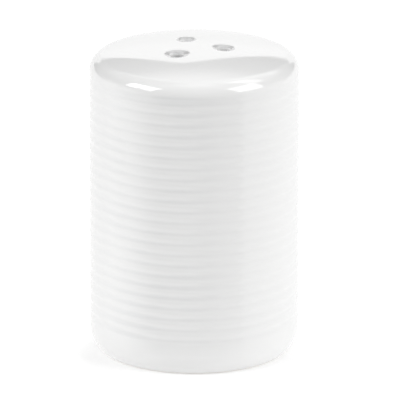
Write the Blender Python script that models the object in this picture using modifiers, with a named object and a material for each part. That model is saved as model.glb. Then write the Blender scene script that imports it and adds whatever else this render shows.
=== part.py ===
"""Salt shaker: a hollow porcelain body, ribbed on the outside, and the soft plug that closes its base.

The body is one turned shell with a domed top, three flared pouring holes and a filling hole in the base.
The plug pushes up into the filling hole from below. Metres, +Z up, origin on the axis at the table.
"""

import math

import bpy

MM = 0.001

# Porcelain body: outside.
BODY_RADIUS = 25.0 * MM
BODY_HEIGHT = 74.7 * MM
SHOULDER_RADIUS = 3.8 * MM
DOME_EDGE_SLOPE = 11.4  # degrees, where the dome runs into the shoulder
FOOT_CURVE_RADIUS = 7.5 * MM
FOOT_CURVE_SWEEP = 45.0  # degrees of turn from the wall towards the table
FOOT_EDGE_RADIUS = 1.0 * MM

# Ribs: shallow grooves round the wall, evenly spaced from the shoulder to the foot.
GROOVE_COUNT = 23
GROOVE_PITCH = 2.66 * MM
GROOVE_DEPTH = 0.2 * MM
TOP_GROOVE_Z = 67.4 * MM
POINTS_PER_GROOVE = 3

# Porcelain body: inside and underneath.
WALL = 2.8 * MM
BASE_THICKNESS = 3.0 * MM
RECESS_DEPTH = 3.0 * MM
RECESS_CORNER = 1.2 * MM
FOOT_INNER_RADIUS = 19.0 * MM
FOOT_INNER_EDGE = 0.8 * MM
FLOOR_CORNER = 3.0 * MM
FILL_HOLE_RADIUS = 9.5 * MM
FILL_HOLE_EDGE = 0.7 * MM

# Pouring holes: three, placed by hand nearly evenly, square to the dome, with rounded lips.
POUR_CIRCLE_RADIUS = 7.0 * MM
POUR_THROAT_RADIUS = 1.85 * MM
POUR_RIM_RADIUS = 2.75 * MM
POUR_ANGLES = (-126.0, -5.0, 106.0)  # degrees from +X
POUR_CUT_MARGIN = 2.0 * MM

# Stopper: a soft cup-shaped plug with a flange, two sealing beads and a grip web across its mouth.
SEAT_GAP = 0.3 * MM
BEAD_CLEARANCE = 0.1 * MM
SHANK_CLEARANCE = 0.3 * MM
FLANGE_RADIUS = 12.5 * MM
FLANGE_THICKNESS = 1.5 * MM
FLANGE_EDGE = 0.5 * MM
PLUG_HEIGHT = 6.8 * MM
PLUG_NOSE_RADIUS = 1.2 * MM
BEAD_HEIGHTS = (1.3 * MM, 4.2 * MM)  # above the flange's seat
BEAD_HALF_WIDTH = 0.6 * MM
CUP_RADIUS = 7.4 * MM
CUP_FLOOR_THICKNESS = 1.5 * MM
CUP_CORNER = 1.0 * MM
CUP_MOUTH_EDGE = 0.5 * MM
GRIP_THICKNESS = 2.0 * MM
GRIP_SETBACK = 0.5 * MM  # the web's lower edge lies this far above the flange's underside
GRIP_EDGE = 0.5 * MM
GRIP_ROOT = 0.6 * MM  # how far the web's ends and top run into the cup

# Facets round the axis, and along each kind of arc.
BODY_SEGMENTS = 48
HOLE_SEGMENTS = 20
STOPPER_SEGMENTS = 40
LARGE_ARC_STEPS = 5
INSIDE_ARC_STEPS = 3
SMALL_ARC_STEPS = 2
MERGE_DISTANCE = 0.00001

PORCELAIN_COLOUR = (0.90, 0.90, 0.89, 1.0)
STOPPER_COLOUR = (0.80, 0.81, 0.80, 1.0)


def clear_scene():
    """Removes what the scene holds, without closing the file."""
    for obj in list(bpy.data.objects):
        bpy.data.objects.remove(obj)


def new_collection(name):
    """Adds a collection to the scene."""
    collection = bpy.data.collections.new(name)
    bpy.context.scene.collection.children.link(collection)
    return collection


def plain_material(name, colour, roughness):
    """A Principled material of one colour."""
    material = bpy.data.materials.new(name)
    material.use_nodes = True
    shader = material.node_tree.nodes["Principled BSDF"]
    shader.inputs["Base Color"].default_value = colour
    shader.inputs["Roughness"].default_value = roughness
    shader.inputs["Metallic"].default_value = 0.0
    material.diffuse_color = colour
    return material


def arc(centre, radius, start, end, steps):
    """Points (r, z) along an arc, its angles in degrees from +r towards +z, with both ends."""
    points = []
    for step in range(steps + 1):
        angle = math.radians(start + (end - start) * step / steps)
        points.append((centre[0] + radius * math.cos(angle), centre[1] + radius * math.sin(angle)))
    return points


def turned(name, outline, segments, collection):
    """An object made by turning an outline of (r, z) points about its own Z axis."""
    mesh = bpy.data.meshes.new(name)
    vertices = [(r, 0.0, z) for r, z in outline]
    edges = [(i, i + 1) for i in range(len(vertices) - 1)]
    mesh.from_pydata(vertices, edges, [])
    obj = bpy.data.objects.new(name, mesh)
    collection.objects.link(obj)
    screw = obj.modifiers.new("turn", "SCREW")
    screw.axis = "Z"
    screw.steps = segments
    screw.render_steps = segments
    screw.use_merge_vertices = True
    screw.merge_threshold = MERGE_DISTANCE
    screw.use_smooth_shade = True
    return obj


def boolean(obj, tool, operation):
    """Cuts a tool out of an object, or joins it on."""
    modifier = obj.modifiers.new(f"{operation.lower()}_{tool.name}", "BOOLEAN")
    modifier.operation = operation
    modifier.solver = "EXACT"
    modifier.object = tool


def as_helper(obj):
    """Marks a cutter, which isn't a piece of the shaker."""
    obj.hide_render = True
    obj.display_type = "WIRE"


def dome_radius():
    """The top's radius of curvature, from its slope where it meets the shoulder."""
    slope = math.radians(DOME_EDGE_SLOPE)
    edge = BODY_RADIUS - SHOULDER_RADIUS * (1.0 - math.sin(slope))
    return edge / math.sin(slope)


def shoulder_centre():
    """Centre (r, z) of the shoulder's arc, tangent to the dome and to the wall."""
    slope = math.radians(DOME_EDGE_SLOPE)
    dome_centre_z = BODY_HEIGHT - dome_radius()
    reach = dome_radius() - SHOULDER_RADIUS
    return (BODY_RADIUS - SHOULDER_RADIUS, dome_centre_z + reach * math.cos(slope))


def top_outline(offset, steps):
    """The dome from the axis outwards and the shoulder down to the wall, moved in by an offset."""
    edge_angle = 90.0 - DOME_EDGE_SLOPE
    dome_centre = (0.0, BODY_HEIGHT - dome_radius())
    dome = arc(dome_centre, dome_radius() - offset, 90.0, edge_angle, steps)
    shoulder = arc(shoulder_centre(), SHOULDER_RADIUS - offset, edge_angle, 0.0, steps)
    return dome + shoulder[1:]


def ribs():
    """The wall's grooves from top to bottom: a cosine wave, read on both flanks and at each bottom."""
    top = TOP_GROOVE_Z + GROOVE_PITCH / 2
    points = []
    for step in range(GROOVE_COUNT * POINTS_PER_GROOVE):
        turns = (step + 0.5) / POINTS_PER_GROOVE
        depth = GROOVE_DEPTH * (1.0 - math.cos(2.0 * math.pi * turns)) / 2
        points.append((BODY_RADIUS - depth, top - turns * GROOVE_PITCH))
    return points


def foot():
    """The outside from the wall round to the flat ring that stands on the table, and that ring."""
    sweep = math.radians(FOOT_CURVE_SWEEP)
    edge_top = FOOT_EDGE_RADIUS * (1.0 - math.sin(sweep))
    curve_centre = (BODY_RADIUS - FOOT_CURVE_RADIUS, edge_top + FOOT_CURVE_RADIUS * math.sin(sweep))
    step_in = (FOOT_CURVE_RADIUS - FOOT_EDGE_RADIUS) * math.cos(sweep)
    edge_centre = (curve_centre[0] + step_in, FOOT_EDGE_RADIUS)
    curve = arc(curve_centre, FOOT_CURVE_RADIUS, 0.0, -FOOT_CURVE_SWEEP, LARGE_ARC_STEPS)
    edge = arc(edge_centre, FOOT_EDGE_RADIUS, -FOOT_CURVE_SWEEP, -90.0, SMALL_ARC_STEPS)
    inner_edge = arc((FOOT_INNER_RADIUS, FOOT_INNER_EDGE), FOOT_INNER_EDGE, -90.0, -180.0, SMALL_ARC_STEPS)
    return curve + edge[1:] + inner_edge


def base():
    """The recess under the base, the filling hole and the chamber's floor, from the foot inwards and up."""
    wall_r = FOOT_INNER_RADIUS - FOOT_INNER_EDGE
    floor_z = RECESS_DEPTH + BASE_THICKNESS
    recess = arc(
        (wall_r - RECESS_CORNER, RECESS_DEPTH - RECESS_CORNER), RECESS_CORNER, 0.0, 90.0, SMALL_ARC_STEPS
    )
    mouth_r = FILL_HOLE_RADIUS + FILL_HOLE_EDGE
    lower_edge = arc((mouth_r, RECESS_DEPTH + FILL_HOLE_EDGE), FILL_HOLE_EDGE, -90.0, -180.0, SMALL_ARC_STEPS)
    upper_edge = arc((mouth_r, floor_z - FILL_HOLE_EDGE), FILL_HOLE_EDGE, 180.0, 90.0, SMALL_ARC_STEPS)
    inner_r = BODY_RADIUS - WALL
    corner = arc(
        (inner_r - FLOOR_CORNER, floor_z + FLOOR_CORNER), FLOOR_CORNER, -90.0, 0.0, INSIDE_ARC_STEPS
    )
    return recess + lower_edge + upper_edge + corner


def body_outline():
    """The whole section, from the top of the dome down the outside, under the base and up the inside."""
    outside = top_outline(0.0, LARGE_ARC_STEPS) + ribs() + foot()
    inside = reversed(top_outline(WALL, INSIDE_ARC_STEPS))
    return outside + base() + list(inside)


def pour_hole_cutter(number, angle, collection):
    """A trumpet, flared at the dome's surface and straight through the wall, square to the dome."""
    flare = POUR_RIM_RADIUS - POUR_THROAT_RADIUS
    outline = [(0.0, POUR_CUT_MARGIN), (POUR_RIM_RADIUS, POUR_CUT_MARGIN)]
    outline += arc((POUR_RIM_RADIUS, -flare), flare, 90.0, 180.0, LARGE_ARC_STEPS)
    depth = WALL + POUR_CUT_MARGIN
    outline += [(POUR_THROAT_RADIUS, -depth), (0.0, -depth)]
    cutter = turned(f"pour_hole_{number}", outline, HOLE_SEGMENTS, collection)
    tilt = math.asin(POUR_CIRCLE_RADIUS / dome_radius())
    turn = math.radians(angle)
    surface_z = BODY_HEIGHT - dome_radius() * (1.0 - math.cos(tilt))
    cutter.location = (POUR_CIRCLE_RADIUS * math.cos(turn), POUR_CIRCLE_RADIUS * math.sin(turn), surface_z)
    cutter.rotation_euler = (0.0, tilt, turn)
    as_helper(cutter)
    return cutter


def porcelain_body(parts, cutters):
    """The shell, with its pouring holes cut."""
    body = turned("porcelain_body", body_outline(), BODY_SEGMENTS, parts)
    for number, angle in enumerate(POUR_ANGLES, start=1):
        boolean(body, pour_hole_cutter(number, angle, cutters), "DIFFERENCE")
    body.data.materials.append(plain_material("glazed_porcelain", PORCELAIN_COLOUR, 0.12))
    return body


def shank():
    """The plug's outside from its nose down to the flange, with a bead at each sealing height."""
    radius = FILL_HOLE_RADIUS - SHANK_CLEARANCE
    bead = FILL_HOLE_RADIUS - BEAD_CLEARANCE
    nose_centre = (radius - PLUG_NOSE_RADIUS, PLUG_HEIGHT - PLUG_NOSE_RADIUS)
    points = arc(nose_centre, PLUG_NOSE_RADIUS, 90.0, 0.0, SMALL_ARC_STEPS)
    for height in sorted(BEAD_HEIGHTS, reverse=True):
        points += [(radius, height + BEAD_HALF_WIDTH), (bead, height), (radius, height - BEAD_HALF_WIDTH)]
    return points + [(radius, 0.0)]


def flange():
    """The rim that stops the plug against the base, rounded at its outer edge."""
    centre_r = FLANGE_RADIUS - FLANGE_EDGE
    upper = arc((centre_r, -FLANGE_EDGE), FLANGE_EDGE, 90.0, 0.0, SMALL_ARC_STEPS)
    lower = arc((centre_r, FLANGE_EDGE - FLANGE_THICKNESS), FLANGE_EDGE, 0.0, -90.0, SMALL_ARC_STEPS)
    return upper + lower


def cup():
    """The finger well, from the flange's underside up its wall to the floor's middle."""
    ceiling = PLUG_HEIGHT - CUP_FLOOR_THICKNESS
    mouth = arc(
        (CUP_RADIUS + CUP_MOUTH_EDGE, CUP_MOUTH_EDGE - FLANGE_THICKNESS), CUP_MOUTH_EDGE, -90.0, -180.0,
        SMALL_ARC_STEPS,
    )
    corner = arc((CUP_RADIUS - CUP_CORNER, ceiling - CUP_CORNER), CUP_CORNER, 0.0, 90.0, SMALL_ARC_STEPS)
    return mouth + corner + [(0.0, ceiling)]


def grip_web(collection):
    """The bar across the finger well that is pinched to pull the plug out."""
    low = GRIP_SETBACK - FLANGE_THICKNESS
    high = PLUG_HEIGHT - CUP_FLOOR_THICKNESS + GRIP_ROOT
    length = 2.0 * (CUP_RADIUS + GRIP_ROOT)
    bpy.ops.mesh.primitive_cube_add(size=1.0, location=(0.0, 0.0, (low + high) / 2))
    web = bpy.context.object
    web.name = "grip_web"
    web.scale = (length, GRIP_THICKNESS, high - low)
    bpy.ops.object.transform_apply(location=False, rotation=False, scale=True)
    bevel = web.modifiers.new("soft_edges", "BEVEL")
    bevel.width = GRIP_EDGE
    bevel.segments = 2
    for owner in list(web.users_collection):
        owner.objects.unlink(web)
    collection.objects.link(web)
    as_helper(web)
    return web


def base_stopper(parts, cutters):
    """The plug, seated under the base with its origin on the axis at the flange's seat."""
    outline = [(0.0, PLUG_HEIGHT)] + shank() + flange() + cup()
    stopper = turned("base_stopper", outline, STOPPER_SEGMENTS, parts)
    web = grip_web(cutters)
    boolean(stopper, web, "UNION")
    seat = (0.0, 0.0, RECESS_DEPTH - SEAT_GAP)
    stopper.location = seat
    web.location = (web.location.x, web.location.y, web.location.z + seat[2])
    stopper.data.materials.append(plain_material("soft_stopper", STOPPER_COLOUR, 0.45))
    return stopper


def main():
    """Builds the shaker, its pieces under one empty on the axis at the table."""
    clear_scene()
    parts = new_collection("salt_shaker")
    cutters = new_collection("cutters")
    shaker = bpy.data.objects.new("shaker_axis", None)
    parts.objects.link(shaker)
    for piece in (porcelain_body(parts, cutters), base_stopper(parts, cutters)):
        piece.parent = shaker


main()
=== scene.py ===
"""Looks of the salt shaker: its glazed porcelain body, its soft base stopper and the studio.

Each part of the shaker is a class that holds its sizes, models its mesh with Blender's operators
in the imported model's frame, in metres, and dresses it with a finish.
"""

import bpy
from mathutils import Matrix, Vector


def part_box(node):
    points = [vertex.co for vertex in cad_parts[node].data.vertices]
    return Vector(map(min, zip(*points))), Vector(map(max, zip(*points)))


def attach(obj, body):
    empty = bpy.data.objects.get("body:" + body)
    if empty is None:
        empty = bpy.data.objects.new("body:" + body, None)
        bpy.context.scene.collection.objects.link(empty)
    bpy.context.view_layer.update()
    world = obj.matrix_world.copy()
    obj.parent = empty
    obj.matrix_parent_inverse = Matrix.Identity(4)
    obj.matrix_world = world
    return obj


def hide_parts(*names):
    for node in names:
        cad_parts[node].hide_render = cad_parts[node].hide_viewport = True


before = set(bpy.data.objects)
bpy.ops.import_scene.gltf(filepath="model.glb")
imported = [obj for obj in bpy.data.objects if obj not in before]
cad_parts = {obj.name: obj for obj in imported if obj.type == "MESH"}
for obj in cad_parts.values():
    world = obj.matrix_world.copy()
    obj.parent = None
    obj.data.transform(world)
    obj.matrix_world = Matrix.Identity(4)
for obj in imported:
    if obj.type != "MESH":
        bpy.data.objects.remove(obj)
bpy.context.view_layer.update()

import logging
import math
from dataclasses import dataclass
from enum import Enum

import bpy
from mathutils import Quaternion, Vector

MM = 0.001
WHOLE_TURN = 2.0 * math.pi
MERGE_DISTANCE = 0.001 * MM
CREST = 0.5  # pitches from the bottom of a groove to the next crest
MIX_NUMBERS = (0, 2, 3)  # the Mix node's factor, first and second inputs for numbers
MIX_COLOURS = (0, 6, 7)  # the same for colours
MIXED_NUMBER = 0  # its outputs
MIXED_COLOUR = 2
PHOTO_SIDE = 400  # the picture's width and height, in pixels
log = logging.getLogger("salt_shaker")

Point = tuple[float, float]
Colour = tuple[float, float, float]


class Node(Enum):
    """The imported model's nodes."""

    PORCELAIN_BODY = "porcelain_body"
    BASE_STOPPER = "base_stopper"


class Body(Enum):
    """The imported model's moving bodies."""

    SHAKER = "shaker"
    STOPPER = "stopper"


class Slot(Enum):
    """The record's material slots."""

    GLAZED_PORCELAIN = "glazed_porcelain"
    SOFT_STOPPER = "soft_stopper"


class Joining(Enum):
    """What a tool does to a piece."""

    CUT_OUT = "DIFFERENCE"
    JOIN_ON = "UNION"


# Outlines and turning


def arc(centre: Point, radius: float, start: float, end: float, steps: int) -> list[Point]:
    """Points along an arc of a turned outline.

    Args:
        centre: The arc's centre, as distance from the axis and height.
        radius: The arc's radius.
        start: First angle in radians, from outwards towards up.
        end: Last angle.
        steps: How many straight steps the arc has.

    Returns:
        The points from start to end, both included.
    """
    points = []
    for step in range(steps + 1):
        angle = start + (end - start) * step / steps
        points.append((centre[0] + radius * math.cos(angle), centre[1] + radius * math.sin(angle)))
    return points


def select_only(obj: bpy.types.Object) -> None:
    """Makes one object the only selected one, and the active one.

    Args:
        obj: The object to work on.
    """
    bpy.ops.object.select_all(action="DESELECT")
    obj.select_set(True)
    bpy.context.view_layer.objects.active = obj


def turn(name: str, outline: list[Point], segments: int) -> bpy.types.Object:
    """Models a turned solid: one vertex is extruded along the outline and spun about the Z axis.

    Args:
        name: The object's name.
        outline: Points (distance from the axis, height) from the top of the axis back to it.
        segments: Faces round the axis.

    Returns:
        The closed mesh object, its faces pointing outwards.
    """
    bpy.ops.object.select_all(action="DESELECT")
    bpy.ops.mesh.primitive_plane_add(size=MM, location=(0.0, 0.0, 0.0))
    obj = bpy.context.object
    obj.name = name
    bpy.ops.object.mode_set(mode="EDIT")
    bpy.ops.mesh.select_all(action="SELECT")
    bpy.ops.mesh.merge(type="CENTER")
    bpy.ops.transform.translate(value=(outline[0][0], 0.0, outline[0][1]))
    for here, there in zip(outline, outline[1:]):
        step = (there[0] - here[0], 0.0, there[1] - here[1])
        bpy.ops.mesh.extrude_vertices_move(TRANSFORM_OT_translate={"value": step})
    bpy.ops.mesh.select_all(action="SELECT")
    bpy.ops.mesh.spin(
        steps=segments, angle=WHOLE_TURN, center=(0.0, 0.0, 0.0), axis=(0.0, 0.0, 1.0)
    )
    bpy.ops.mesh.select_all(action="SELECT")
    bpy.ops.mesh.remove_doubles(threshold=MERGE_DISTANCE)
    bpy.ops.mesh.normals_make_consistent(inside=False)
    bpy.ops.object.mode_set(mode="OBJECT")
    return obj


def boolean(obj: bpy.types.Object, tool: bpy.types.Object, joining: Joining) -> None:
    """Cuts a tool out of a piece or joins it on, and removes the tool.

    Args:
        obj: The piece.
        tool: The other mesh.
        joining: Which of the two.
    """
    modifier = obj.modifiers.new(tool.name, "BOOLEAN")
    modifier.operation = joining.value
    modifier.solver = "EXACT"
    modifier.object = tool
    select_only(obj)
    bpy.ops.object.modifier_apply(modifier=modifier.name)
    bpy.data.objects.remove(tool)


def smooth(obj: bpy.types.Object, angle: float) -> None:
    """Shades a piece smooth, apart from edges sharper than an angle.

    Args:
        obj: The piece.
        angle: The angle in radians.
    """
    select_only(obj)
    bpy.ops.object.shade_smooth_by_angle(angle=angle)


# Shader nodes


class ShaderBench:
    """Adds nodes to one node tree and wires them."""

    def __init__(self, tree: bpy.types.NodeTree) -> None:
        """Takes the tree to work on."""
        self.tree = tree

    def node(self, kind: str, **settings: object) -> bpy.types.Node:
        """Adds a node.

        Args:
            kind: Its Blender type name.
            **settings: Values of its own properties.

        Returns:
            The new node.
        """
        made = self.tree.nodes.new(kind)
        for key, value in settings.items():
            setattr(made, key, value)
        return made

    def feed(self, socket: bpy.types.NodeSocket, value: object) -> None:
        """Links a socket into an input, or sets a plain value on it.

        Args:
            socket: The input.
            value: An output socket, a number, a vector or a colour.
        """
        if isinstance(value, bpy.types.NodeSocket):
            self.tree.links.new(value, socket)
        elif socket.type == "RGBA":
            socket.default_value = (*value, 1.0)
        else:
            socket.default_value = value

    def math(self, operation: str, *values: object, clamp: bool = False) -> bpy.types.NodeSocket:
        """Adds a Math node.

        Args:
            operation: The node's operation.
            *values: Its inputs in order.
            clamp: Whether the result stays from 0 to 1.

        Returns:
            The result.
        """
        made = self.node("ShaderNodeMath", operation=operation, use_clamp=clamp)
        for socket, value in zip(made.inputs, values):
            self.feed(socket, value)
        return made.outputs["Value"]

    def measure(self, operation: str, *vectors: object) -> bpy.types.NodeSocket:
        """Adds a Vector Math node that gives a number.

        Args:
            operation: The node's operation, such as DISTANCE.
            *vectors: Its inputs in order.

        Returns:
            The number.
        """
        made = self.node("ShaderNodeVectorMath", operation=operation)
        for socket, vector in zip(made.inputs, vectors):
            self.feed(socket, vector)
        return made.outputs["Value"]

    def ramp(
        self, value: object, start: float, end: float, low: object = 0.0, high: object = 1.0
    ) -> bpy.types.NodeSocket:
        """A smooth step from one level to another.

        Args:
            value: What is measured.
            start: Where the step begins.
            end: Where it ends, above start.
            low: The level before the step.
            high: The level after it.

        Returns:
            The level.
        """
        made = self.node("ShaderNodeMapRange", interpolation_type="SMOOTHSTEP")
        names = ("Value", "From Min", "From Max", "To Min", "To Max")
        for name, given in zip(names, (value, start, end, low, high)):
            self.feed(made.inputs[name], given)
        return made.outputs["Result"]

    def mix(self, factor: object, first: object, second: object) -> bpy.types.NodeSocket:
        """Mixes two numbers.

        Args:
            factor: Share of the second.
            first: Number at 0.
            second: Number at 1.

        Returns:
            The mixed number.
        """
        made = self.node("ShaderNodeMix", data_type="FLOAT")
        for index, given in zip(MIX_NUMBERS, (factor, first, second)):
            self.feed(made.inputs[index], given)
        return made.outputs[MIXED_NUMBER]

    def mix_colour(self, factor: object, first: object, second: object) -> bpy.types.NodeSocket:
        """Mixes two colours.

        Args:
            factor: Share of the second.
            first: Colour at 0.
            second: Colour at 1.

        Returns:
            The mixed colour.
        """
        made = self.node("ShaderNodeMix", data_type="RGBA")
        for index, given in zip(MIX_COLOURS, (factor, first, second)):
            self.feed(made.inputs[index], given)
        return made.outputs[MIXED_COLOUR]

    def mix_shader(self, factor: object, first: object, second: object) -> bpy.types.NodeSocket:
        """Mixes two shaders.

        Args:
            factor: Share of the second.
            first: Shader at 0.
            second: Shader at 1.

        Returns:
            The mixed shader.
        """
        made = self.node("ShaderNodeMixShader")
        for socket, given in zip(made.inputs, (factor, first, second)):
            self.feed(socket, given)
        return made.outputs["Shader"]

    def noise(self, place: object, scale: object, detail: float) -> bpy.types.NodeSocket:
        """A noise texture's value.

        Args:
            place: The coordinates.
            scale: Its scale, in waves per metre.
            detail: How many finer layers it has.

        Returns:
            The value, about 0.5 on average.
        """
        made = self.node("ShaderNodeTexNoise", noise_dimensions="3D")
        self.feed(made.inputs["Vector"], place)
        self.feed(made.inputs["Scale"], scale)
        self.feed(made.inputs["Detail"], detail)
        return made.outputs["Fac"]

    def bump(self, height: object, strength: float, distance: float) -> bpy.types.NodeSocket:
        """A bump's normal.

        Args:
            height: The bump's height, as a number round 0.5.
            strength: How much of it shows.
            distance: The real height for a number of 1.

        Returns:
            The normal.
        """
        made = self.node("ShaderNodeBump")
        self.feed(made.inputs["Strength"], strength)
        self.feed(made.inputs["Distance"], distance)
        self.feed(made.inputs["Height"], height)
        return made.outputs["Normal"]

    def place(self) -> bpy.types.NodeSocket:
        """The piece's own coordinates."""
        return self.node("ShaderNodeTexCoord").outputs["Object"]

    def axes(self, vector: object) -> bpy.types.NodeOutputs:
        """Takes a vector apart.

        Args:
            vector: The vector.

        Returns:
            Its X, Y and Z.
        """
        made = self.node("ShaderNodeSeparateXYZ")
        self.feed(made.inputs["Vector"], vector)
        return made.outputs


@dataclass(frozen=True)
class SurfaceUnevenness:
    """The unevenness that fired glaze and moulded plastic share: slow patches and fine grain."""

    patch_detail: float = 1.0
    patch_from: float = 0.35
    patch_to: float = 0.65
    grain_detail: float = 2.0
    grain_from: float = 0.3
    grain_to: float = 0.7
    grain_in_height: float = 0.2

    def group(self) -> bpy.types.NodeTree:
        """Builds the node group.

        Returns:
            A group with the inputs Vector, Patch Size and Grain Size (in metres) and the outputs
            Patches (a slow mask), Grain (a fine mask) and Height (for a bump).
        """
        group = bpy.data.node_groups.new("surface_unevenness", "ShaderNodeTree")
        sockets = group.interface
        sockets.new_socket("Vector", in_out="INPUT", socket_type="NodeSocketVector")
        for name in ("Patch Size", "Grain Size"):
            sockets.new_socket(name, in_out="INPUT", socket_type="NodeSocketFloat")
        for name in ("Patches", "Grain", "Height"):
            sockets.new_socket(name, in_out="OUTPUT", socket_type="NodeSocketFloat")
        bench = ShaderBench(group)
        given = bench.node("NodeGroupInput").outputs
        made = bench.node("NodeGroupOutput").inputs
        patch_scale = bench.math("DIVIDE", 1.0, given["Patch Size"])
        patches = bench.noise(given["Vector"], patch_scale, self.patch_detail)
        grain_scale = bench.math("DIVIDE", 1.0, given["Grain Size"])
        grain = bench.noise(given["Vector"], grain_scale, self.grain_detail)
        bench.feed(made["Patches"], bench.ramp(patches, self.patch_from, self.patch_to))
        bench.feed(made["Grain"], bench.ramp(grain, self.grain_from, self.grain_to))
        height = bench.math("MULTIPLY_ADD", grain, self.grain_in_height, patches)
        bench.feed(made["Height"], height)
        return group


def new_material(name: str) -> tuple[bpy.types.Material, ShaderBench, bpy.types.Node]:
    """Starts a material.

    Args:
        name: Its name.

    Returns:
        The material, a bench for its nodes and its Principled shader.
    """
    material = bpy.data.materials.new(name)
    material.use_nodes = True
    return material, ShaderBench(material.node_tree), material.node_tree.nodes["Principled BSDF"]


def place_group(
    bench: ShaderBench, group: bpy.types.NodeTree, **values: object
) -> bpy.types.NodeOutputs:
    """Places a shared node group in a material.

    Args:
        bench: The material's bench.
        group: The group.
        **values: Its inputs, with underscores for spaces.

    Returns:
        The group's outputs.
    """
    made = bench.node("ShaderNodeGroup", node_tree=group)
    for key, value in values.items():
        bench.feed(made.inputs[key.replace("_", " ")], value)
    return made.outputs


# Finishes


@dataclass(frozen=True)
class PorcelainGlaze:
    """White porcelain under a glossy glaze, bare where it stands; the grooves are greyer with
    pooled glaze and painted shade.

    Shade is painted into the pouring holes as greyer colours. Their levels are depths under the
    dome's surface.
    """

    white: Colour = (0.82, 0.82, 0.817)
    # The grooves' colours: pooled glaze with painted shade; the second is painted shade on the
    # front-left side.
    pooled_and_groove_shade: Colour = (0.808, 0.809, 0.807)
    painted_side_groove_shade: Colour = (0.765, 0.768, 0.768)
    painted_shade_side: float = math.radians(-26.0)  # side with more painted groove shade, from the front, positive to the right
    painted_side_from: float = 0.74
    painted_shade_band: float = 0.5  # pitches that the groove colour stays on above the top groove: painted shade under the shoulder
    pool_and_shade_patches: float = 0.8  # how far the patches move the edge of the pooled glaze and painted groove shade
    pool_and_shade_from: float = 0.1
    pool_and_shade_to: float = 1.8
    # Painted shade in the pouring holes: the dishes, the throats and their lower ends.
    dish: Colour = (0.6, 0.6, 0.6)
    throat: Colour = (0.93, 0.93, 0.93)
    bottom: Colour = (0.72, 0.72, 0.72)
    biscuit: Colour = (0.76, 0.745, 0.715)
    refraction: float = 1.6
    gloss_roughness: float = 0.03
    roughness_spread: float = 0.03
    throat_roughness: float = 0.35
    biscuit_roughness: float = 0.6
    dish_from: float = 0.02 * MM
    dish_to: float = 0.08 * MM
    lip_from: float = 0.2 * MM
    lip_to: float = 0.35 * MM
    throat_from: float = 0.25 * MM
    throat_to: float = 0.5 * MM
    bottom_from: float = 0.7 * MM
    bottom_to: float = 1.2 * MM
    glaze_line: float = 0.35 * MM
    glaze_line_waver: float = 0.15 * MM
    glaze_line_soft: float = 0.05 * MM
    hole_fade: float = 1.0 * MM
    patch_size: float = 14.0 * MM
    grain_size: float = 1.1 * MM
    bump_strength: float = 0.06
    bump_height: float = 0.02 * MM

    def material(self, group: bpy.types.NodeTree, body: "PorcelainBody") -> bpy.types.Material:
        """Builds the material.

        Args:
            group: The shared unevenness.
            body: The piece that it covers, for where its grooves and holes are.

        Returns:
            The material.
        """
        material, bench, shader = new_material("glazed_porcelain_finish")
        bench.feed(shader.inputs["IOR"], self.refraction)
        place = bench.place()
        uneven = place_group(
            bench, group, Vector=place, Patch_Size=self.patch_size, Grain_Size=self.grain_size
        )
        patches = uneven["Patches"]
        height = bench.axes(place)["Z"]
        depth = self.hole_depth(bench, place, body)
        walls = self.wall_colour(bench, place, patches, body)
        # Painted shade is added in the pouring holes.
        glaze_and_painted_shade = self.painted_hole_shade(bench, depth, walls)
        waver = bench.math("MULTIPLY_ADD", uneven["Grain"], self.glaze_line_waver, self.glaze_line)
        above = bench.math("SUBTRACT", height, waver)
        bare = bench.ramp(above, -self.glaze_line_soft, self.glaze_line_soft, 1.0, 0.0)
        bench.feed(shader.inputs["Base Color"], bench.mix_colour(bare, glaze_and_painted_shade, self.biscuit))
        gloss = bench.math("MULTIPLY_ADD", patches, self.roughness_spread, self.gloss_roughness)
        lip = bench.ramp(depth, self.lip_from, self.lip_to)
        duller = bench.mix(lip, gloss, self.throat_roughness)
        bench.feed(shader.inputs["Roughness"], bench.mix(bare, duller, self.biscuit_roughness))
        normal = bench.bump(uneven["Height"], self.bump_strength, self.bump_height)
        bench.feed(shader.inputs["Normal"], normal)
        return material

    def wall_colour(
        self, bench: ShaderBench, place: object, patches: object, body: "PorcelainBody"
    ) -> bpy.types.NodeSocket:
        """The glaze's colour outside the holes: white on the crests; in the grooves, pooled glaze
        and painted shade.

        Args:
            bench: The material's bench.
            place: The piece's own coordinates.
            patches: The slow mask of the unevenness.
            body: The piece.

        Returns:
            The colour.
        """
        height = bench.axes(place)["Z"]
        from_top = bench.math("SUBTRACT", height, body.groove_top)
        turns = bench.math("DIVIDE", from_top, body.groove_pitch)
        last = CREST - body.groove_count
        grooves = bench.math("MINIMUM", bench.math("MAXIMUM", turns, last), 0.0)
        # Painted shade under the shoulder: the groove colour is held on above the top groove.
        band = bench.math("MAXIMUM", bench.math("SUBTRACT", turns, self.painted_shade_band), 0.0)
        held = bench.math("ADD", grooves, bench.math("MINIMUM", band, CREST))
        wave = bench.math("COSINE", bench.math("MULTIPLY", held, WHOLE_TURN))
        uneven_wave = bench.math("MULTIPLY_ADD", patches, self.pool_and_shade_patches, wave)
        # Mask of the pooled glaze and painted shade in the grooves.
        pool_and_shade = bench.ramp(uneven_wave, self.pool_and_shade_from, self.pool_and_shade_to)
        # Painted shade: the grooves are darker on the front-left side.
        right = math.sin(self.painted_shade_side) / body.radius
        front = math.cos(self.painted_shade_side) / body.radius
        facing = bench.measure("DOT_PRODUCT", place, (right, -front, 0.0))
        deep = bench.ramp(facing, self.painted_side_from, 1.0)
        pooled_and_groove_shade = bench.mix_colour(deep, self.pooled_and_groove_shade, self.painted_side_groove_shade)
        return bench.mix_colour(pool_and_shade, self.white, pooled_and_groove_shade)

    def painted_hole_shade(
        self, bench: ShaderBench, depth: object, walls: object
    ) -> bpy.types.NodeSocket:
        """Adds painted shade, as greyer colours, to the dishes, the throats and their lower ends.

        Args:
            bench: The material's bench.
            depth: Depth under the dome's surface.
            walls: The colour outside the holes.

        Returns:
            The colour.
        """
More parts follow.
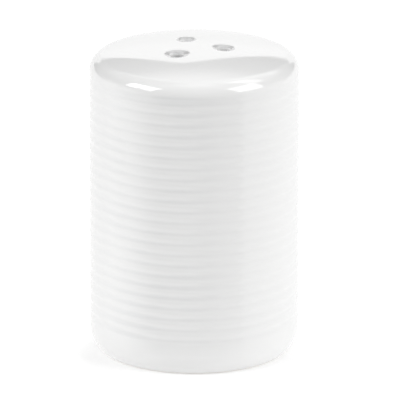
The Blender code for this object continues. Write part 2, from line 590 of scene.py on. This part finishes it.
        # Painted shade in the holes, by depth under the dome.
        painted_throat_share = bench.ramp(depth, self.throat_from, self.throat_to)
        inside = bench.mix_colour(painted_throat_share, self.dish, self.throat)
        painted_bottom_share = bench.ramp(depth, self.bottom_from, self.bottom_to)
        holes = bench.mix_colour(painted_bottom_share, inside, self.bottom)
        return bench.mix_colour(bench.ramp(depth, self.dish_from, self.dish_to), walls, holes)

    def hole_depth(
        self, bench: ShaderBench, place: object, body: "PorcelainBody"
    ) -> bpy.types.NodeSocket:
        """How far the surface lies under the dome's sphere in the pouring holes.

        Args:
            bench: The material's bench.
            place: The piece's own coordinates.
            body: The piece.

        Returns:
            The depth in metres, none outside the top.
        """
        dome = body.dome_radius()
        from_centre = bench.measure("DISTANCE", place, (0.0, 0.0, body.height - dome))
        depth = bench.math("SUBTRACT", dome, from_centre)
        from_top = bench.measure("DISTANCE", place, (0.0, 0.0, body.height))
        reach = body.hole_reach
        near = bench.ramp(from_top, reach, reach + self.hole_fade, 1.0, 0.0)
        return bench.math("MULTIPLY", near, depth)


@dataclass(frozen=True)
class SoftPlastic:
    """Soft, slightly milky moulded plastic with a fine satin grain."""

    pale: Colour = (0.78, 0.79, 0.78)
    deep: Colour = (0.72, 0.735, 0.73)
    roughness: float = 0.38
    roughness_spread: float = 0.12
    patch_size: float = 5.0 * MM
    grain_size: float = 0.25 * MM
    bump_strength: float = 0.15
    bump_height: float = 0.02 * MM

    def material(self, group: bpy.types.NodeTree) -> bpy.types.Material:
        """Builds the material.

        Args:
            group: The shared unevenness.

        Returns:
            The material.
        """
        material, bench, shader = new_material("soft_stopper_finish")
        place = bench.place()
        uneven = place_group(
            bench, group, Vector=place, Patch_Size=self.patch_size, Grain_Size=self.grain_size
        )
        milky = bench.mix_colour(uneven["Patches"], self.pale, self.deep)
        bench.feed(shader.inputs["Base Color"], milky)
        rough = bench.math("MULTIPLY_ADD", uneven["Grain"], self.roughness_spread, self.roughness)
        bench.feed(shader.inputs["Roughness"], rough)
        normal = bench.bump(uneven["Height"], self.bump_strength, self.bump_height)
        bench.feed(shader.inputs["Normal"], normal)
        return material


# The shaker's parts


@dataclass
class PouringHole:
    """One pouring hole: its place on the top, its throat, and the soft dish and lip round that."""

    angle: float
    circle: float  # radius of the circle that it lies on
    throat: float  # radii
    dish: float
    dish_slope: float = math.radians(10.0)
    edge: float = 0.6 * MM
    lip: float = 0.3 * MM
    taper: float = math.radians(8.0)
    margin: float = 2.0 * MM
    lift: float = 0.001 * MM
    segments: int = 72
    edge_steps: int = 8

    def profile(self, dome: float) -> list[Point]:
        """The dish, which leaves the dome without an edge, and the rounded lip of the throat.

        Args:
            dome: The dome's radius of curvature.

        Returns:
            The points from the dome inwards. On the hole's axis the dome's surface is at height 0.
        """
        lean = math.asin(self.dish / dome)
        turned_in = math.pi / 2 + self.dish_slope
        reach = dome - self.edge
        edge_centre = (reach * math.sin(lean), reach * math.cos(lean) - dome)
        edge = arc(edge_centre, self.edge, math.pi / 2 - lean, turned_in, self.edge_steps)
        across = self.throat + self.lip * math.cos(self.taper)
        run = edge[-1][0] - across + self.lip * math.sin(self.dish_slope)
        drop = run * math.tan(self.dish_slope) + self.lip * math.cos(self.dish_slope)
        lip_centre = (across, edge[-1][1] - drop)
        return edge + arc(lip_centre, self.lip, turned_in, math.pi - self.taper, self.edge_steps)

    def cutter(self, dome: float, top: float, wall: float) -> bpy.types.Object:
        """Models the tool that cuts the hole square to the dome.

        Args:
            dome: The dome's radius of curvature.
            top: Height of the dome's top.
            wall: The wall's thickness.

        Returns:
            The tool, in place.
        """
        profile = self.profile(dome)
        depth = wall + self.margin
        outline = [(0.0, self.margin), (profile[0][0], self.margin), *profile]
        foot = self.throat - (depth + profile[-1][1]) * math.tan(self.taper)
        outline += [(foot, -depth), (0.0, -depth)]
        tool = turn("pouring_hole", outline, self.segments)
        tilt = math.asin(self.circle / dome)
        surface = top - dome * (1.0 - math.cos(tilt)) + self.lift
        across = self.circle * math.cos(self.angle)
        along = self.circle * math.sin(self.angle)
        tool.location = (across, along, surface)
        tool.rotation_euler = (0.0, tilt, self.angle)
        return tool


@dataclass
class PorcelainBody:
    """The one-piece shell: dome, shoulder, ribbed wall, foot, recessed base and chamber."""

    radius: float
    height: float
    shoulder: float = 3.8 * MM
    dome_slope: float = math.radians(11.4)
    groove_count: int = 23
    groove_pitch: float = 2.66 * MM
    groove_depth: float = 0.18 * MM
    groove_top: float = 67.4 * MM
    groove_steps: int = 10
    foot_curve: float = 7.5 * MM
    foot_sweep: float = math.radians(45.0)
    foot_edge: float = 1.0 * MM
    foot_inner: float = 19.0 * MM
    foot_inner_edge: float = 0.8 * MM
    recess: float = 3.0 * MM
    recess_corner: float = 1.2 * MM
    wall: float = 2.8 * MM
    base: float = 3.0 * MM
    floor_corner: float = 3.0 * MM
    fill_hole: float = 9.5 * MM
    fill_hole_edge: float = 0.7 * MM
    hole_angles: tuple[float, ...] = (-126.0, -5.0, 106.5)  # degrees from the right
    hole_circles: tuple[float, ...] = (7.0 * MM, 7.0 * MM, 6.75 * MM)
    hole_throats: tuple[float, ...] = (1.9 * MM, 1.8 * MM, 1.7 * MM)
    hole_dishes: tuple[float, ...] = (3.2 * MM, 3.0 * MM, 2.75 * MM)
    hole_reach: float = 12.0 * MM
    segments: int = 192
    dome_steps: int = 48
    shoulder_steps: int = 20
    edge_steps: int = 6
    sharp_angle: float = math.radians(40.0)

    @classmethod
    def from_frame(cls) -> "PorcelainBody":
        """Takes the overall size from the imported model."""
        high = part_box(Node.PORCELAIN_BODY.value)[1]
        return cls(radius=high.x, height=high.z)

    def dome_radius(self) -> float:
        """The top's radius of curvature, from its slope where it meets the shoulder."""
        edge = self.radius - self.shoulder * (1.0 - math.sin(self.dome_slope))
        return edge / math.sin(self.dome_slope)

    def top_outline(self, offset: float) -> list[Point]:
        """The dome from the axis outwards and the shoulder down to the wall.

        Args:
            offset: How far the outline is moved into the wall.

        Returns:
            The outline's points.
        """
        dome = self.dome_radius()
        edge_angle = math.pi / 2 - self.dome_slope
        dome_centre = (0.0, self.height - dome)
        reach = dome - self.shoulder
        shoulder_centre = (
            self.radius - self.shoulder,
            dome_centre[1] + reach * math.cos(self.dome_slope),
        )
        bend = self.shoulder - offset
        points = arc(dome_centre, dome - offset, math.pi / 2, edge_angle, self.dome_steps)
        return points + arc(shoulder_centre, bend, edge_angle, 0.0, self.shoulder_steps)[1:]

    def ribs(self) -> list[Point]:
        """The wall's grooves, as a cosine wave that starts and ends on a crest.

        Returns:
            The outline's points from top to bottom.
        """
        top = self.groove_top + self.groove_pitch / 2
        points = []
        for step in range(self.groove_count * self.groove_steps + 1):
            turns = step / self.groove_steps
            depth = self.groove_depth * (1.0 - math.cos(WHOLE_TURN * turns)) / 2
            points.append((self.radius - depth, top - turns * self.groove_pitch))
        return points

    def foot(self) -> list[Point]:
        """The outside from the wall round to the standing ring, and that ring's inner edge.

        Returns:
            The outline's points from the wall inwards.
        """
        edge_top = self.foot_edge * (1.0 - math.sin(self.foot_sweep))
        curve_centre = (
            self.radius - self.foot_curve,
            edge_top + self.foot_curve * math.sin(self.foot_sweep),
        )
        step_in = (self.foot_curve - self.foot_edge) * math.cos(self.foot_sweep)
        edge_centre = (curve_centre[0] + step_in, self.foot_edge)
        points = arc(curve_centre, self.foot_curve, 0.0, -self.foot_sweep, self.shoulder_steps)
        edge = arc(
            edge_centre, self.foot_edge, -self.foot_sweep, -math.pi / 2, self.edge_steps
        )
        points += edge[1:]
        inner = (self.foot_inner, self.foot_inner_edge)
        return points + arc(inner, self.foot_inner_edge, -math.pi / 2, -math.pi, self.edge_steps)

    def underside(self) -> list[Point]:
        """The recess under the base, the filling hole and the chamber's floor.

        Returns:
            The outline's points from the standing ring up into the chamber.
        """
        wall_r = self.foot_inner - self.foot_inner_edge
        floor_z = self.recess + self.base
        mouth_r = self.fill_hole + self.fill_hole_edge
        inner_r = self.radius - self.wall
        corner = (wall_r - self.recess_corner, self.recess - self.recess_corner)
        low = (mouth_r, self.recess + self.fill_hole_edge)
        high = (mouth_r, floor_z - self.fill_hole_edge)
        chamber = (inner_r - self.floor_corner, floor_z + self.floor_corner)
        points = arc(corner, self.recess_corner, 0.0, math.pi / 2, self.edge_steps)
        points += arc(low, self.fill_hole_edge, -math.pi / 2, -math.pi, self.edge_steps)
        points += arc(high, self.fill_hole_edge, math.pi, math.pi / 2, self.edge_steps)
        return points + arc(chamber, self.floor_corner, -math.pi / 2, 0.0, self.edge_steps)

    def build(self) -> bpy.types.Object:
        """Models the shell.

        Returns:
            The mesh object, in place.
        """
        outline = self.top_outline(0.0) + self.ribs() + self.foot() + self.underside()
        outline += reversed(self.top_outline(self.wall))
        shell = turn("porcelain_shell", outline, self.segments)
        holes = zip(self.hole_angles, self.hole_circles, self.hole_throats, self.hole_dishes)
        for angle, circle, throat, dish in holes:
            hole = PouringHole(math.radians(angle), circle, throat, dish)
            cutter = hole.cutter(self.dome_radius(), self.height, self.wall)
            boolean(shell, cutter, Joining.CUT_OUT)
        smooth(shell, self.sharp_angle)
        return shell

    def dress(
        self, shell: bpy.types.Object, finish: PorcelainGlaze, group: bpy.types.NodeTree
    ) -> None:
        """Gives the shell its glaze and its place in the frame.

        Args:
            shell: The mesh object.
            finish: The glaze.
            group: The shared unevenness.
        """
        shell.data.materials.clear()
        shell.data.materials.append(finish.material(group, self))
        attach(shell, Body.SHAKER.value)
        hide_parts(Node.PORCELAIN_BODY.value)


@dataclass
class BaseStopper:
    """The soft plug in the filling hole: flange, beaded shank, finger well and grip web."""

    flange: float
    under: float
    top: float
    flange_thickness: float = 1.5 * MM
    flange_edge: float = 0.5 * MM
    shank: float = 9.2 * MM
    bead: float = 9.4 * MM
    bead_half_width: float = 0.6 * MM
    bead_heights: tuple[float, ...] = (4.2 * MM, 1.3 * MM)
    nose: float = 1.2 * MM
    well: float = 7.4 * MM
    well_floor: float = 1.5 * MM
    well_corner: float = 1.0 * MM
    well_mouth: float = 0.5 * MM
    web_thickness: float = 2.0 * MM
    web_setback: float = 0.5 * MM
    web_edge: float = 0.5 * MM
    web_root: float = 0.6 * MM
    segments: int = 128
    edge_steps: int = 6
    bead_steps: int = 8
    sharp_angle: float = math.radians(45.0)

    @classmethod
    def from_frame(cls) -> "BaseStopper":
        """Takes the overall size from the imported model."""
        low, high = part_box(Node.BASE_STOPPER.value)
        return cls(flange=high.x, under=low.z, top=high.z)

    def outside(self) -> list[Point]:
        """The nose, the beaded shank and the flange.

        Returns:
            The outline's points from the top of the axis down.
        """
        seat = self.under + self.flange_thickness
        nose_centre = (self.shank - self.nose, self.top - self.nose)
        points = [(0.0, self.top)] + arc(nose_centre, self.nose, math.pi / 2, 0.0, self.edge_steps)
        for height in self.bead_heights:
            for step in range(self.bead_steps + 1):
                across = 1.0 - 2.0 * step / self.bead_steps
                swell = (1.0 + math.cos(math.pi * across)) / 2
                radius = self.shank + (self.bead - self.shank) * swell
                points.append((radius, seat + height + across * self.bead_half_width))
        points.append((self.shank, seat))
        rim = self.flange - self.flange_edge
        high = (rim, seat - self.flange_edge)
        points += arc(high, self.flange_edge, math.pi / 2, 0.0, self.edge_steps)
        low = (rim, self.under + self.flange_edge)
        return points + arc(low, self.flange_edge, 0.0, -math.pi / 2, self.edge_steps)

    def finger_well(self) -> list[Point]:
        """The well in the flange's underside.

        Returns:
            The outline's points from its mouth up to the middle of its floor.
        """
        ceiling = self.top - self.well_floor
        mouth = (self.well + self.well_mouth, self.under + self.well_mouth)
        corner = (self.well - self.well_corner, ceiling - self.well_corner)
        points = arc(mouth, self.well_mouth, -math.pi / 2, -math.pi, self.edge_steps)
        points += arc(corner, self.well_corner, 0.0, math.pi / 2, self.edge_steps)
        return points + [(0.0, ceiling)]

    def grip_web(self) -> bpy.types.Object:
        """Models the bar across the well, with soft edges, running a little into the well's wall
        and floor.

        Returns:
            The bar's mesh object.
        """
        low = self.under + self.web_setback
        high = self.top - self.well_floor + self.web_root
        length = 2.0 * (self.well + self.web_root)
        bpy.ops.object.select_all(action="DESELECT")
        bpy.ops.mesh.primitive_cube_add(size=1.0, location=(0.0, 0.0, (low + high) / 2))
        web = bpy.context.object
        web.name = "grip_web"
        web.scale = (length, self.web_thickness, high - low)
        bpy.ops.object.transform_apply(location=True, rotation=True, scale=True)
        modifier = web.modifiers.new("soft_edges", "BEVEL")
        modifier.width = self.web_edge
        modifier.segments = self.edge_steps
        select_only(web)
        bpy.ops.object.modifier_apply(modifier=modifier.name)
        return web

    def build(self) -> bpy.types.Object:
        """Models the plug.

        Returns:
            The mesh object, in place.
        """
        plug = turn("soft_stopper_plug", self.outside() + self.finger_well(), self.segments)
        boolean(plug, self.grip_web(), Joining.JOIN_ON)
        smooth(plug, self.sharp_angle)
        return plug

    def dress(
        self, plug: bpy.types.Object, finish: SoftPlastic, group: bpy.types.NodeTree
    ) -> None:
        """Gives the plug its plastic and its place in the frame.

        Args:
            plug: The mesh object.
            finish: The plastic.
            group: The shared unevenness.
        """
        plug.data.materials.clear()
        plug.data.materials.append(finish.material(group))
        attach(plug, Body.STOPPER.value)
        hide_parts(Node.BASE_STOPPER.value)


# The studio


@dataclass
class Table:
    """The plain white table, which shows the shaker's soft shadow.

    Its paper's colour and glow are painted dimmer away from the shaker for the light it bounces, a
    painted pool of light.
    The shaker's glaze mirrors it only close to the foot, and the room beyond.
    """

    side: float = 8.0
    gap: float = 0.02 * MM
    paper: Colour = (0.98, 0.98, 0.98)
    # Painted pool of light: the paper's colour for bounce light far from the shaker.
    paper_far_painted_dim: Colour = (0.78, 0.78, 0.78)
    lit_from: float = 74.0 * MM
    lit_to: float = 347.0 * MM
    mirrored_from: float = 25.0 * MM
    mirrored_to: float = 60.0 * MM
    paper_seen: float = 0.65  # share of the lit paper for the camera, close to the foot
    paper_seen_far: float = 0.2
    seen_centre: tuple[float, float, float] = (2.0 * MM, -10.0 * MM, 0.0)
    seen_from: float = 26.0 * MM
    seen_to: float = 36.0 * MM
    paper_mirrored: float = 0.25  # the same for the glaze
    white_level: float = 1.15
    white_far: float = 0.8

    def build(self) -> None:
        """Adds the table top and its paper."""
        bpy.ops.object.select_all(action="DESELECT")
        bpy.ops.mesh.primitive_plane_add(size=self.side, location=(0.0, 0.0, -self.gap))
        table = bpy.context.object
        table.name = "table"
        table.data.materials.append(self.material())

    def material(self) -> bpy.types.Material:
        """Builds the paper: seen by the camera as nearly white, lit as paper, and clear from below.

        Returns:
            The material.
        """
        material, bench, shader = new_material("table_paper")
        bench.tree.nodes.remove(shader)
        place = bench.place()
        distance = bench.measure("LENGTH", place)
        path = bench.node("ShaderNodeLightPath").outputs
        glossy = path["Is Glossy Ray"]
        direct = bench.math("MAXIMUM", path["Is Camera Ray"], glossy)
        far = bench.ramp(distance, self.lit_from, self.lit_to)
        dimmed = bench.math("MULTIPLY", far, bench.math("SUBTRACT", 1.0, direct))
        lit = bench.node("ShaderNodeBsdfDiffuse")
        bench.feed(lit.inputs["Color"], bench.mix_colour(dimmed, self.paper, self.paper_far_painted_dim))
        white = bench.node("ShaderNodeEmission")
        level = bench.mix(dimmed, self.white_level, self.white_far)
        bench.feed(white.inputs["Strength"], level)
        clear = bench.node("ShaderNodeBsdfTransparent").outputs["BSDF"]
        aside = bench.measure("DISTANCE", place, self.seen_centre)
        shown = bench.ramp(
            aside, self.seen_from, self.seen_to, self.paper_seen, self.paper_seen_far
        )
        share = bench.mix(glossy, shown, self.paper_mirrored)
        seen = bench.mix_shader(share, white.outputs["Emission"], lit.outputs["BSDF"])
        beyond = bench.ramp(distance, self.mirrored_from, self.mirrored_to)
        mirrored = bench.mix_shader(bench.math("MULTIPLY", glossy, beyond), seen, clear)
        below = bench.node("ShaderNodeNewGeometry").outputs["Backfacing"]
        sided = bench.mix_shader(below, mirrored, clear)
        bench.feed(bench.tree.nodes["Material Output"].inputs["Surface"], sided)
        return material


@dataclass
class SoftBox:
    """A rectangular lamp seen from the shaker in a given direction."""

    name: str
    azimuth: float  # degrees from the camera's side, positive to the right
    elevation: float
    wide: float  # degrees that it spans from the shaker
    tall: float
    brightness: float  # against white paper at 1
    roll: float = 0.0  # degrees about the line to the shaker
    distance: float = 3.0

    def build(self, aim: Vector) -> None:
        """Adds the lamp.

        Args:
            aim: The point that it faces.
        """
        bpy.ops.object.select_all(action="DESELECT")
        bpy.ops.object.light_add(type="AREA")
        lamp = bpy.context.object
        lamp.name = self.name
        lamp.data.shape = "RECTANGLE"
        lamp.data.size = 2.0 * self.distance * math.tan(math.radians(self.wide) / 2)
        lamp.data.size_y = 2.0 * self.distance * math.tan(math.radians(self.tall) / 2)
        lamp.data.energy = self.brightness * math.pi * lamp.data.size * lamp.data.size_y
        away = direction(self.azimuth, self.elevation)
        lamp.location = aim + away * self.distance
        facing = (-away).to_track_quat("-Z", "Y")
        rolled = facing @ Quaternion((0.0, 0.0, 1.0), math.radians(self.roll))
        lamp.rotation_euler = rolled.to_euler()
        lamp.visible_camera = False


def direction(azimuth: float, elevation: float) -> Vector:
    """The direction from the shaker to a place round it.

    Args:
        azimuth: Degrees from the camera's side, positive to the right.
        elevation: Degrees above the table.

    Returns:
        The unit vector.
    """
    turned = math.radians(azimuth)
    raised = math.radians(elevation)
    out = math.cos(raised)
    return Vector((math.sin(turned) * out, -math.cos(turned) * out, math.sin(raised)))


@dataclass
class StudioWorld:
    """The room round the shaker: bright above, white behind and beside it, dim in front.

    Levels are brightnesses, 1 for white. Angles are in degrees, azimuths from the camera's side.
    """

    front_wall: float = 0.315
    front_wall_from: float = 0.0
    front_wall_to: float = 30.0
    front_ceiling: float = 0.43
    front_ceiling_from: float = 40.0
    front_ceiling_to: float = 75.0
    back_ceiling: float = 0.3
    back_ceiling_from: float = 29.5
    back_ceiling_to: float = 39.0
    ceiling_turn_from: float = 60.0
    ceiling_turn_to: float = 120.0
    left_side: float = 1.5
    left_from: float = 35.0
    left_to: float = 80.0
    right_side: float = 0.65
    right_edge_from: float = 54.0
    right_edge_to: float = 56.5
    right_front: float = 0.36
    sides_fade: float = 100.0
    sides_to: float = 125.0
    back: float = 1.06
    back_from: float = 153.0
    back_to: float = 158.0
    band_from: float = 2.8
    band_to: float = 26.6
    back_low_to: float = 7.0
    back_band_from: float = 17.0
    back_band_to: float = 20.5
    low: float = 1.0
    low_right: float = 0.2
    low_right_from: float = -12.0
    low_right_to: float = 22.0
    low_from: float = -24.0
    low_to: float = -20.0
    low_turn_from: float = 30.0
    low_turn_to: float = 80.0
    board_low: float = 0.97
    board_high: float = 1.24
    board_brightens_to: float = 20.0
    board_centre: float = -1.16
    board_left: float = 13.66
    board_right: float = 17.78
    board_top: float = 28.8
    board_side_power: float = 1.56
    board_top_power: float = 0.8
    board_softness: float = 0.015
    panel: float = 0.82
    panel_from: float = 30.3
    panel_full: float = 41.0
    panel_fades: float = 76.0
    panel_to: float = 88.0
    panel_left: float = 8.0
    panel_left_to: float = 22.0
    panel_right: float = 28.0
    panel_right_to: float = 56.0
    cap: float = 0.8
    cap_from: float = 74.0
    cap_to: float = 82.0

    def build(self) -> None:
        """Builds the world's light, with plain white behind the scene."""
        world = bpy.data.worlds.new("studio")
        bpy.context.scene.world = world
        world.use_nodes = True
        bench = ShaderBench(world.node_tree)
        towards = bench.axes(bench.node("ShaderNodeTexCoord").outputs["Generated"])
        level = self.level(bench, towards)
        path = bench.node("ShaderNodeLightPath").outputs
        shade = world.node_tree.nodes["Background"]
        bench.feed(shade.inputs["Color"], (1.0, 1.0, 1.0))
        bench.feed(shade.inputs["Strength"], bench.mix(path["Is Camera Ray"], level, 1.0))

    def level(self, bench: ShaderBench, towards: bpy.types.NodeOutputs) -> bpy.types.NodeSocket:
        """How bright the room is in each direction.

        Args:
            bench: The world's bench.
            towards: The direction's X, Y and Z.

        Returns:
            The brightness, 1 for white.
        """
        to_degrees = math.degrees(1.0)
        elevation = bench.math("MULTIPLY", bench.math("ARCSINE", towards["Z"]), to_degrees)
        forwards = bench.math("MULTIPLY", towards["Y"], -1.0)
        angle = bench.math("ARCTAN2", towards["X"], forwards)
        azimuth = bench.math("MULTIPLY", angle, to_degrees)
        ceiling = self.ceiling(bench, azimuth, elevation)
        band = self.band(bench, azimuth, elevation)
        below = self.below(bench, azimuth, elevation)
        room = bench.math("ADD", bench.math("ADD", ceiling, band), below)
        lit = bench.math("ADD", room, self.overhead(bench, azimuth, elevation))
        return bench.math("MAXIMUM", lit, self.board(bench, towards, elevation))

    def ceiling(
        self, bench: ShaderBench, azimuth: object, elevation: object
    ) -> bpy.types.NodeSocket:
        """The wall and ceiling on the camera's side, and the ceiling behind.

        Args:
            bench: The world's bench.
            azimuth: The direction's azimuth.
            elevation: Its elevation.

        Returns:
            Their brightness.
        """
        turned = bench.math("ABSOLUTE", azimuth)
        wall = bench.ramp(
            elevation, self.front_wall_from, self.front_wall_to, 0.0, self.front_wall
        )
        roof = bench.ramp(
            elevation, self.front_ceiling_from, self.front_ceiling_to, 0.0, self.front_ceiling
        )
        front = bench.math("ADD", wall, roof)
        rear = bench.ramp(
            elevation, self.back_ceiling_from, self.back_ceiling_to, 0.0, self.back_ceiling
        )
        return bench.ramp(turned, self.ceiling_turn_from, self.ceiling_turn_to, front, rear)

    def band(
        self, bench: ShaderBench, azimuth: object, elevation: object
    ) -> bpy.types.NodeSocket:
        """The bright band at the table's level and under it, at the sides and behind.

        Args:
            bench: The world's bench.
            azimuth: The direction's azimuth.
            elevation: Its elevation.

        Returns:
            Its brightness.
        """
        turned = bench.math("ABSOLUTE", azimuth)
        leftwards = bench.math("MULTIPLY", azimuth, -1.0)
        left = bench.ramp(leftwards, self.left_from, self.left_to, 0.0, self.left_side)
        inner = bench.ramp(azimuth, 0.0, self.right_edge_from, 0.0, self.right_front)
        outer = bench.ramp(
            azimuth, self.right_edge_from, self.right_edge_to, 0.0, self.right_side
        )
        sides = bench.math("MAXIMUM", left, bench.math("ADD", inner, outer))
        side_band = bench.ramp(elevation, self.band_from, self.band_to, sides, 0.0)
        back_low = bench.ramp(elevation, self.band_from, self.back_low_to, self.back, 0.0)
        back_high = bench.ramp(elevation, self.back_band_from, self.back_band_to, self.back, 0.0)
        back_band = bench.ramp(turned, self.back_from, self.back_to, back_low, back_high)
        return bench.ramp(turned, self.sides_fade, self.sides_to, side_band, back_band)

    def below(
        self, bench: ShaderBench, azimuth: object, elevation: object
    ) -> bpy.types.NodeSocket:
        """The bright paper in front, as the glaze mirrors it where the table is clear to it.

        Args:
            bench: The world's bench.
            azimuth: The direction's azimuth.
            elevation: Its elevation.

        Returns:
            Its brightness.
        """
        turned = bench.math("ABSOLUTE", azimuth)
        low = bench.ramp(
            azimuth, self.low_right_from, self.low_right_to, self.low, self.low_right
        )
        facing = bench.ramp(turned, self.low_turn_from, self.low_turn_to, low, 0.0)
        return bench.ramp(elevation, self.low_from, self.low_to, facing, 0.0)

    def board(
        self, bench: ShaderBench, towards: bpy.types.NodeOutputs, elevation: object
    ) -> bpy.types.NodeSocket:
        """The white board behind the shaker, which the dome mirrors, with a curved top edge.

        Args:
            bench: The world's bench.
            towards: The direction's X, Y and Z.
            elevation: Its elevation.

        Returns:
            The board's brightness, none beside it.
        """
        centre = math.sin(math.radians(self.board_centre))
        left_width = math.sin(math.radians(self.board_left))
        right_width = math.sin(math.radians(self.board_right))
        top = math.sin(math.radians(self.board_top))
        shifted = bench.math("SUBTRACT", towards["X"], centre)
        width = bench.mix(bench.math("LESS_THAN", shifted, 0.0), right_width, left_width)
        across = bench.math("ABSOLUTE", bench.math("DIVIDE", shifted, width))
        upwards = bench.math("MAXIMUM", bench.math("DIVIDE", towards["Z"], top), 0.0)
        reach = bench.math(
            "ADD",
            bench.math("POWER", across, self.board_side_power),
            bench.math("POWER", upwards, self.board_top_power),
        )
        bright = bench.ramp(
            elevation, 0.0, self.board_brightens_to, self.board_low, self.board_high
        )
        soft = self.board_softness
        oval = bench.ramp(reach, 1.0 - soft, 1.0 + soft, bright, 0.0)
        return bench.math("MULTIPLY", oval, bench.math("GREATER_THAN", towards["Y"], 0.0))

    def overhead(
        self, bench: ShaderBench, azimuth: object, elevation: object
    ) -> bpy.types.NodeSocket:
        """The bright panel over the board and the lit patch straight above, soft at their edges.

        Args:
            bench: The world's bench.
            azimuth: The direction's azimuth.
            elevation: Its elevation.

        Returns:
            Their brightness.
        """
        turned = bench.math("SUBTRACT", 180.0, bench.math("ABSOLUTE", azimuth))
        left = bench.ramp(turned, self.panel_left, self.panel_left_to, self.panel, 0.0)
        right = bench.ramp(turned, self.panel_right, self.panel_right_to, self.panel, 0.0)
        level = bench.mix(bench.math("LESS_THAN", azimuth, 0.0), right, left)
        risen = bench.ramp(elevation, self.panel_from, self.panel_full, 0.0, level)
        panel = bench.ramp(elevation, self.panel_fades, self.panel_to, risen, 0.0)
        cap = bench.ramp(elevation, self.cap_from, self.cap_to, 0.0, self.cap)
        return bench.math("ADD", panel, cap)


@dataclass
class PhotoCamera:
    """The long-lens camera, placed so that the shaker fills the picture as photographed."""

    lens_pixels: float = 7400.0  # focal length in the picture's pixels
    distance: float = 1.770
    elevation: float = 17.5  # degrees above the table
    aim_right: float = 1.34 * MM
    aim_height: float = 36.3 * MM
    sensor: float = 36.0

    def build(self) -> None:
        """Adds the camera and makes it the scene's."""
        bpy.ops.object.select_all(action="DESELECT")
        bpy.ops.object.camera_add()
        camera = bpy.context.object
        camera.data.sensor_width = self.sensor
        camera.data.lens = self.sensor * self.lens_pixels / PHOTO_SIDE
        aim = Vector((self.aim_right, 0.0, self.aim_height))
        away = direction(0.0, self.elevation)
        camera.location = aim + away * self.distance
        camera.rotation_euler = (-away).to_track_quat("-Z", "Y").to_euler()
        bpy.context.scene.camera = camera


@dataclass
class Studio:
    """The table, the lights and the camera."""

    table: Table
    world: StudioWorld
    lamps: tuple[SoftBox, ...]
    camera: PhotoCamera

    def build(self, aim: Vector) -> None:
        """Sets the scene up.

        Args:
            aim: The middle of the shaker.
        """
        bpy.context.scene.view_settings.view_transform = "Standard"
        self.table.build()
        self.world.build()
        for lamp in self.lamps:
            lamp.build(aim)
        self.camera.build()


def main() -> None:
    """Builds the shaker's parts in order, then the studio, and logs the parts' face counts."""
    logging.basicConfig(level=logging.INFO, format="%(name)s: %(message)s")
    group = SurfaceUnevenness().group()
    body = PorcelainBody.from_frame()
    shell = body.build()
    body.dress(shell, PorcelainGlaze(), group)
    log.info("%s: %d faces", shell.name, len(shell.data.polygons))
    stopper = BaseStopper.from_frame()
    plug = stopper.build()
    stopper.dress(plug, SoftPlastic(), group)
    log.info("%s: %d faces", plug.name, len(plug.data.polygons))
    studio = Studio(
        table=Table(),
        world=StudioWorld(),
        lamps=(
            SoftBox(
                "left_soft_box",
                azimuth=-68.0,
                elevation=38.0,
                wide=32.0,
                tall=26.0,
                brightness=5.45,
            ),
            SoftBox(
                "right_soft_box",
                azimuth=66.0,
                elevation=33.0,
                wide=32.0,
                tall=36.0,
                brightness=4.0,
            ),
            SoftBox(
                "back_soft_box",
                azimuth=112.0,
                elevation=58.0,
                wide=32.0,
                tall=15.0,
                brightness=2.2,
                roll=42.0,
            ),
        ),
        camera=PhotoCamera(),
    )
    studio.build(Vector((0.0, 0.0, body.height / 2)))
    log.info("table, lamps and camera are set")


if __name__ == "__main__":
    main()
